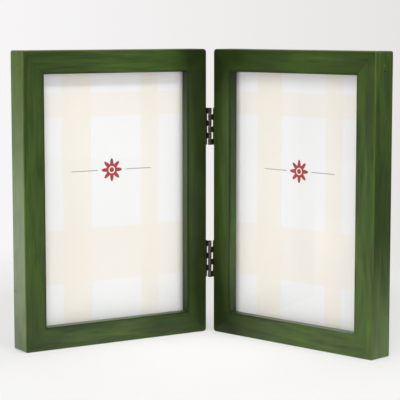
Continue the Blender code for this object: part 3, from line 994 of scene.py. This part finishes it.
# Print, in metres from the sheet's lower left: bands as axis, low, high and share
PAPER = (rgb(0.835, 0.835, 0.84), rgb(0.855, 0.855, 0.855))
CREAM = rgb(0.85, 0.80, 0.72)
BANDS = ((0, 0.018, 0.037, 0.85), (0, 0.071, 0.083, 0.70), (1, 0.026, 0.058, 0.75), (1, 0.124, 0.138, 0.65))
BAND_SOFTNESS = 0.0004
INK_SOFTNESS = 0.0001
ROSETTE_PLACE = (0.0508, 0.092)
ROSETTE_RED = rgb(0.36, 0.030, 0.028)
PETALS = 8.0
PETAL_RADIUS = 0.0052
PETAL_SWING = 0.0017
PETAL_SOFTNESS = 0.00012
ROSETTE_RING = (0.0015, 0.0022)
RULE_GREY = rgb(0.16, 0.15, 0.15)
RULE_SHARE = 0.8
RULE_REACH = (0.0095, 0.027)
RULE_HALF = 0.00022


def printed_paper():
    """Off-white satin paper with faint crossing cream bands, a small red rosette and thin grey rules.

    The rosette is all within a radius that swings as the cosine of eight times the angle, less a ring.
    """
    material, wire = new_material("print_paper")
    place = wire.map_place()
    axes = wire.axes(place)
    mottle = wire.group(MOTTLE, Vector=place, Scale=120.0)
    colour = wire.mix(mottle["Cloud"], *PAPER)
    for axis, low, high, share in BANDS:
        colour = wire.cover(wire.band(axes[axis], low, high, BAND_SOFTNESS), share, colour, CREAM)
    from_x, from_y = [wire.math("SUBTRACT", axes[axis], ROSETTE_PLACE[axis]) for axis in (0, 1)]
    squares = [wire.math("POWER", part, 2.0) for part in (from_x, from_y)]
    far = wire.math("SQRT", wire.math("ADD", *squares))
    angle = wire.times(wire.math("ARCTAN2", from_y, from_x), PETALS)
    petal = wire.times(wire.math("COSINE", angle), PETAL_SWING, PETAL_RADIUS)
    past = wire.math("SUBTRACT", far, petal)
    inside = wire.spread(past, -PETAL_SOFTNESS, PETAL_SOFTNESS, 1.0, 0.0)
    ring = wire.band(far, *ROSETTE_RING, INK_SOFTNESS)
    red = wire.times(inside, wire.math("SUBTRACT", 1.0, ring))
    colour = wire.mix(red, colour, ROSETTE_RED)
    beside = wire.band(wire.math("ABSOLUTE", from_x), *RULE_REACH, INK_SOFTNESS)
    level = wire.band(from_y, -RULE_HALF, RULE_HALF, INK_SOFTNESS)
    wire.principled(
        Base_Color=wire.cover(wire.times(beside, level), RULE_SHARE, colour, RULE_GREY),
        Roughness=wire.times(mottle["Specks"], share=0.15, plus=0.42),
        Normal=wire.bump(mottle["Specks"], strength=0.08, distance=0.00005),
    )
    return material


# Card and board: dark, light and fleck colours, least roughness
CARD = (rgb(0.30, 0.26, 0.20), rgb(0.42, 0.37, 0.29), rgb(0.16, 0.13, 0.10), 0.75)
BOARD = (rgb(0.007, 0.007, 0.007), rgb(0.024, 0.023, 0.021), rgb(0.050, 0.047, 0.042), 0.52)
BOARD_TONES = (0.38, 0.62)
FLECK_SHARE = 0.6


def fibre_board(name, dark, light, fleck, rough_base):
    """Card or hardboard: matted fibres with scattered flecks, on Object coordinates."""
    material, wire = new_material(name)
    place = wire.object_place()
    mottle = wire.group(MOTTLE, Vector=place, Scale=140.0)
    fibre = wire.group(GRAIN, Vector=place, Along=500.0, Across=900.0)
    tone = wire.times(mottle["Cloud"], share=0.5, plus=wire.times(fibre["Streaks"], share=0.5))
    colour = wire.ramp(tone, tuple(zip(BOARD_TONES, (dark, light))))
    relief = wire.times(fibre["Fibres"], share=0.6, plus=mottle["Specks"])
    wire.principled(
        Base_Color=wire.cover(fibre["Pores"], FLECK_SHARE, colour, fleck),
        Roughness=wire.times(fibre["Fibres"], share=0.2, plus=rough_base),
        Normal=wire.bump(relief, strength=0.3, distance=0.0001),
    )
    return material


# Plated metals: dark, light and rubbed colours, least roughness, scale of the clouds
BRONZE = (rgb(0.15, 0.137, 0.123), rgb(0.22, 0.200, 0.178), rgb(0.36, 0.33, 0.30), 0.32, 350.0)
STEEL = (rgb(0.46, 0.46, 0.45), rgb(0.60, 0.60, 0.58), rgb(0.78, 0.78, 0.77), 0.24, 500.0)
PLATING_RANGE = (0.3, 0.7)
HAIRLINE_SHARE = 0.35
PLATING_WEAR = 0.6


def plated_metal(name, dark, light, bright, rough_base, cloud_scale):
    """Plated sheet metal: clouded plating, fine hairlines and brighter rubbed edges."""
    material, wire = new_material(name)
    place = wire.object_place()
    mottle = wire.group(MOTTLE, Vector=place, Scale=cloud_scale)
    hairlines = wire.group(SCRATCHES, Vector=place, Scale=4000.0)["Mask"]
    rubbed = wire.group(RUBBED, Vector=place, Edge=wire.mark(EDGE_MARK), Break_Up=1500.0)["Mask"]
    colour = wire.mix(wire.spread(mottle["Cloud"], *PLATING_RANGE), dark, light)
    colour = wire.cover(hairlines, HAIRLINE_SHARE, colour, bright)
    rough = wire.times(mottle["Cloud"], share=0.16, plus=rough_base)
    relief = wire.times(hairlines, share=-0.4, plus=mottle["Specks"])
    wire.principled(
        Base_Color=wire.cover(rubbed, PLATING_WEAR, colour, bright),
        Metallic=1.0,
        Roughness=wire.times(hairlines, share=0.10, plus=rough),
        Normal=wire.bump(relief, strength=0.12, distance=0.00004),
    )
    return material


# Studio: what is mirrored of the floor is given as low, high and the levels there
WHITE = rgb(1.0, 1.0, 1.0)
FLOOR_RADIUS = 1.2
FLOOR_SIDES = 96
FLOOR_LIT = rgb(0.92, 0.915, 0.912)
FLOOR_GLOW = rgb(1.0, 0.99, 0.985)
FLOOR_GLOW_SHARE = 0.4
FLOOR_BOUNCE = rgb(0.86, 0.855, 0.85)
FLOOR_FADE = (0.18, 0.44)
MIRRORED_LEFT = (-0.45, -0.08, 2.0, 0.90)
MIRRORED_RIGHT = (0.12, 0.50, 1.0, 0.2)
MIRRORED_FRONT = (-0.20, -0.06, 0.30, 1.0)
BACKDROP = (rgb(0.93, 0.915, 0.92), rgb(0.79, 0.78, 0.768))
BACKDROP_REACH = (-0.22, 0.04)
SIDES = ("Left", "Right", "Front", "Back", "Below", "Above")
SKY_LEVELS = (0.10, 0.20, 0.38, 0.80, 0.40, 0.10)
REFLECTED_LEVELS = (0.20, 0.12, 0.05, 0.60, 0.50, 0.90)

# Lamps: degrees right of the front, degrees up, distance, side, watts, seen in reflections
LAMPS = {
    "left_key": (-45, 32, 1.4, 0.25, 2.5, True),
    "front_key": (0, 40, 1.4, 0.25, 4.3, True),
    "right_key": (50, 46, 1.4, 0.25, 3.7, True),
    "left_fill": (-43, 4, 1.6, 0.7, 5.2, False),
    "front_fill": (0, 8, 1.6, 0.7, 3.4, False),
    "right_fill": (38, 4, 1.6, 0.7, 5.2, False),
    "right_strip": (62, 8, 1.6, 0.7, 0.8, True),
    "front_overhead": (0, 75, 1.4, 0.9, 2.7, True),
    "rear_overhead": (180, 80, 1.4, 0.9, 3.8, True),
}


def floor_finish():
    """A pale floor that fades into the backdrop and keeps the shadow. What the frame mirrors of it is
    brightest on the left and dims to the right and to the front.
    """
    material, wire = new_material("studio_floor")
    bounce = wire.principled(Base_Color=FLOOR_BOUNCE, Roughness=0.9, Specular_IOR_Level=0.0)
    place = wire.object_place()
    axes = wire.axes(place)
    lit = wire.node("BsdfDiffuse", {"Color": FLOOR_LIT}).outputs[0]
    pale = wire.blend(FLOOR_GLOW_SHARE, lit, wire.light("Emission", FLOOR_GLOW))
    clear = wire.node("BsdfTransparent").outputs[0]
    surface = wire.blend(wire.spread(wire.length(place), *FLOOR_FADE), pale, clear)
    level = wire.times(wire.spread(axes[0], *MIRRORED_LEFT), wire.spread(axes[0], *MIRRORED_RIGHT))
    level = wire.times(level, wire.spread(axes[1], *MIRRORED_FRONT))
    mirrored = wire.light("Emission", WHITE, level)
    rays = wire.node("LightPath").outputs
    for ray, seen in (("Is Glossy Ray", mirrored), ("Is Diffuse Ray", bounce)):
        surface = wire.blend(rays[ray], surface, seen)
    wire.show(surface)
    return material


def studio_floor():
    """A disc under the frame: points at one radius round the middle, level with the frame's foot."""
    angle = np.linspace(0.0, 4 * QUARTER, FLOOR_SIDES, endpoint=False)
    ring = np.stack((np.cos(angle), np.sin(angle), 0 * angle), axis=1) * FLOOR_RADIUS
    mesh = bpy.data.meshes.new("studio_floor")
    mesh.from_pydata((ring + CAD_BOX[0].z * UP).tolist(), [], [list(range(FLOOR_SIDES))])
    mesh.materials.append(floor_finish())
    floor = bpy.data.objects.new("studio_floor", mesh)
    bpy.context.scene.collection.objects.link(floor)


def six_sided_group():
    """Light that blends six levels by the squares of a direction's parts, which add up to one."""
    wire, given, out = new_group("six_sided_light", "Direction", SIDES, ("Level",))
    level = 0.0
    for axis, part in enumerate(wire.axes(given["Direction"])):
        for side, keep in zip(SIDES[2 * axis : 2 * axis + 2], ("MINIMUM", "MAXIMUM")):
            share = wire.math("POWER", wire.math("ABSOLUTE", wire.math(keep, part, 0.0)), 2.0)
            level = wire.times(share, given[side], level)
    wire.fill(out["Level"], level)
    return wire.tree


def studio_world():
    """Soft light of its own level from each side, with other levels where it is mirrored, and where the
    camera sees it a pale backdrop that greys to the right.
    """
    world = bpy.data.worlds.new("studio")
    bpy.context.scene.world = world
    world.use_nodes = True
    wire = Wiring(world.node_tree)
    rays = wire.node("LightPath").outputs
    direction = wire.node("TexCoord").outputs["Generated"]
    tree = six_sided_group()

    def soft_light(levels):
        level = wire.group(tree, Direction=direction, **dict(zip(SIDES, levels)))["Level"]
        return wire.light("Background", WHITE, level)

    mirrored = wire.math("MAXIMUM", rays["Is Glossy Ray"], rays["Is Transmission Ray"])
    light = wire.blend(mirrored, soft_light(SKY_LEVELS), soft_light(REFLECTED_LEVELS))
    low, high = BACKDROP_REACH
    sideways = {"Value": wire.axes(direction)[0], "From Min": low, "From Max": high}
    shift = wire.node("MapRange", sideways).outputs["Result"]
    backdrop = wire.light("Background", wire.mix(shift, *BACKDROP))
    wire.show(wire.blend(rays["Is Camera Ray"], light, backdrop), "World Output")


def soft_lamp(name, turn, rise, away, side, watts, mirrored):
    """A square softbox that faces the frame's middle."""
    lamp = bpy.data.lights.new(name, "AREA")
    lamp.shape = "SQUARE"
    lamp.size = side
    lamp.energy = watts
    holder = bpy.data.objects.new(name, lamp)
    turn, rise = math.radians(turn), math.radians(rise)
    flat = math.cos(rise)
    outward = Vector((math.sin(turn) * flat, -math.cos(turn) * flat, math.sin(rise)))
    holder.location = (CAD_BOX[0] + CAD_BOX[1]) / 2 + away * outward
    holder.rotation_euler = (-outward).to_track_quat("-Z", "Y").to_euler()
    holder.visible_camera = False
    holder.visible_glossy = mirrored
    bpy.context.scene.collection.objects.link(holder)


def photo_camera():
    """The camera at the photograph's place, turned and pitched as it was."""
    lens = bpy.data.cameras.new("photo_view")
    lens.sensor_width = SENSOR_WIDTH
    lens.lens = CAMERA_LENS
    camera = bpy.data.objects.new("photo_view", lens)
    camera.location = CAMERA_PLACE
    camera.rotation_euler = (QUARTER + CAMERA_PITCH, 0.0, CAMERA_TURN)
    bpy.context.scene.collection.objects.link(camera)
    bpy.context.scene.camera = camera


def dress(node, material):
    """Give a model node that stays in view its finish."""
    for held in frame["nodes"][node].material_slots:
        held.material = material


# Build

wood = stained_wood()
filler = brad_filler()
glass = clear_glass()
paper = printed_paper()
card = fibre_board("grey_card", *CARD)
board = fibre_board("black_backing_board", *BOARD)
bronze = plated_metal("dark_bronze", *BRONZE)
steel = plated_metal("zinc_plated_steel", *STEEL)

for leaf_number, leaf in enumerate(LEAVES):
    for number, member in enumerate(MEMBERS, len(MEMBERS) * leaf_number):
        moulding_member(leaf, member, number, wood)
    dress(f"{leaf.name}_glass", glass)
    print_sheet(leaf, paper)
    dress(f"{leaf.name}_filler_card", card)
    dress(f"{leaf.name}_backing_board", board)
    for rail in ("top", "bottom"):
        for stile in ("outer", "hinge"):
            dress(f"{leaf.name}_brad_{rail}_{stile}", steel)
            brad_plug(leaf, rail, stile, filler)
    for number, where in enumerate(WHERE, len(WHERE) * leaf_number):
        turn_button(leaf, where, steel)
        button_screw(leaf, where, number, steel)
    for hinge in HINGES:
        hinge_plate(hinge, leaf, bronze)
        for number, end in enumerate(("top", "bottom"), 2 * leaf_number):
            hinge_screw(hinge, leaf, end, number, bronze)
for hinge in HINGES:
    hinge_pin(hinge, bronze)

studio_floor()
studio_world()
for lamp_name, settings in LAMPS.items():
    soft_lamp(lamp_name, *settings)
photo_camera()
bpy.context.scene.view_settings.view_transform = "Standard"
